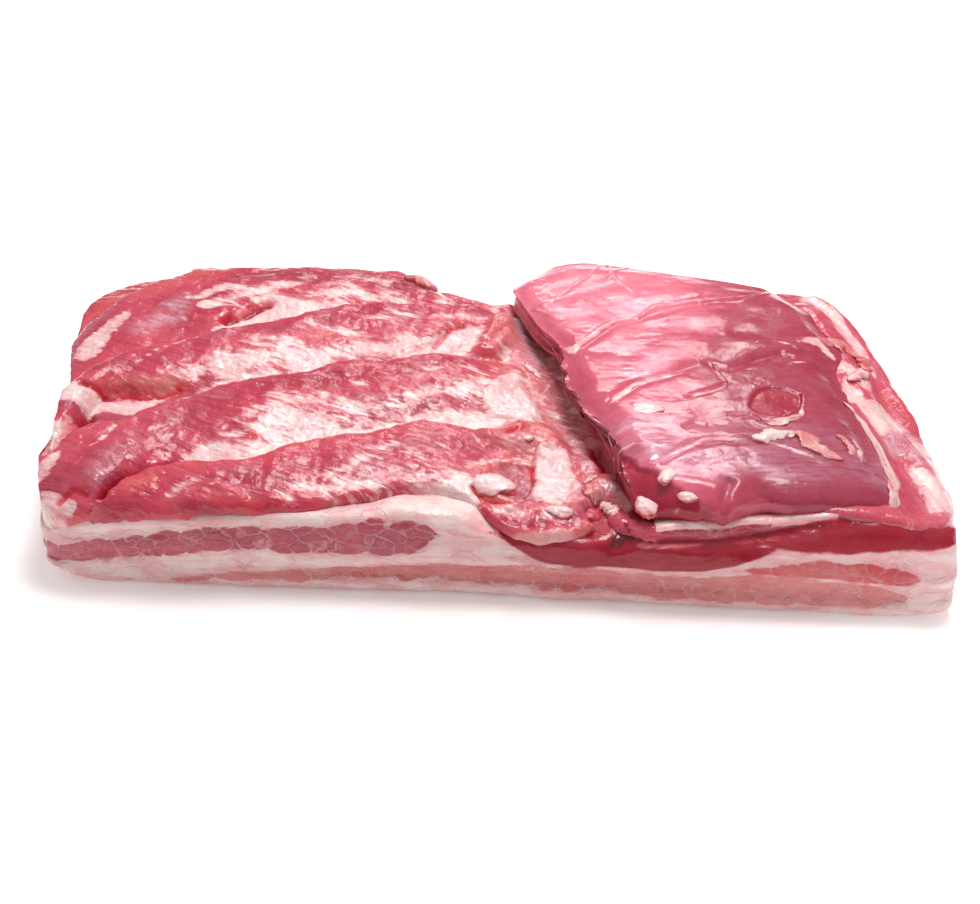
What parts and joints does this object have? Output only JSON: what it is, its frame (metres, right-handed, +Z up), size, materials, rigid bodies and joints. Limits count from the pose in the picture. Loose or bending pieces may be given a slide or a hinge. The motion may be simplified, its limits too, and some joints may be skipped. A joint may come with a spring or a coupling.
{
  "type": "pork belly slab",
  "caption": "Raw boneless slab of pork belly lying fat side down, with slanting rib strips on one half and a loose flap of lean on the other.",
  "frame": {"origin": "middle of the slab's bounding box, on the table it lies on", "axes": "+X along the slab towards the end with the flap, +Y away from the cut front face, +Z up"},
  "size_m": [0.4266, 0.2173, 0.0598],
  "materials": {
    "raw_pork": "moist, satin"
  },
  "bodies": {
    "root": {"pork_belly": "raw_pork"}
  },
  "joints": []
}
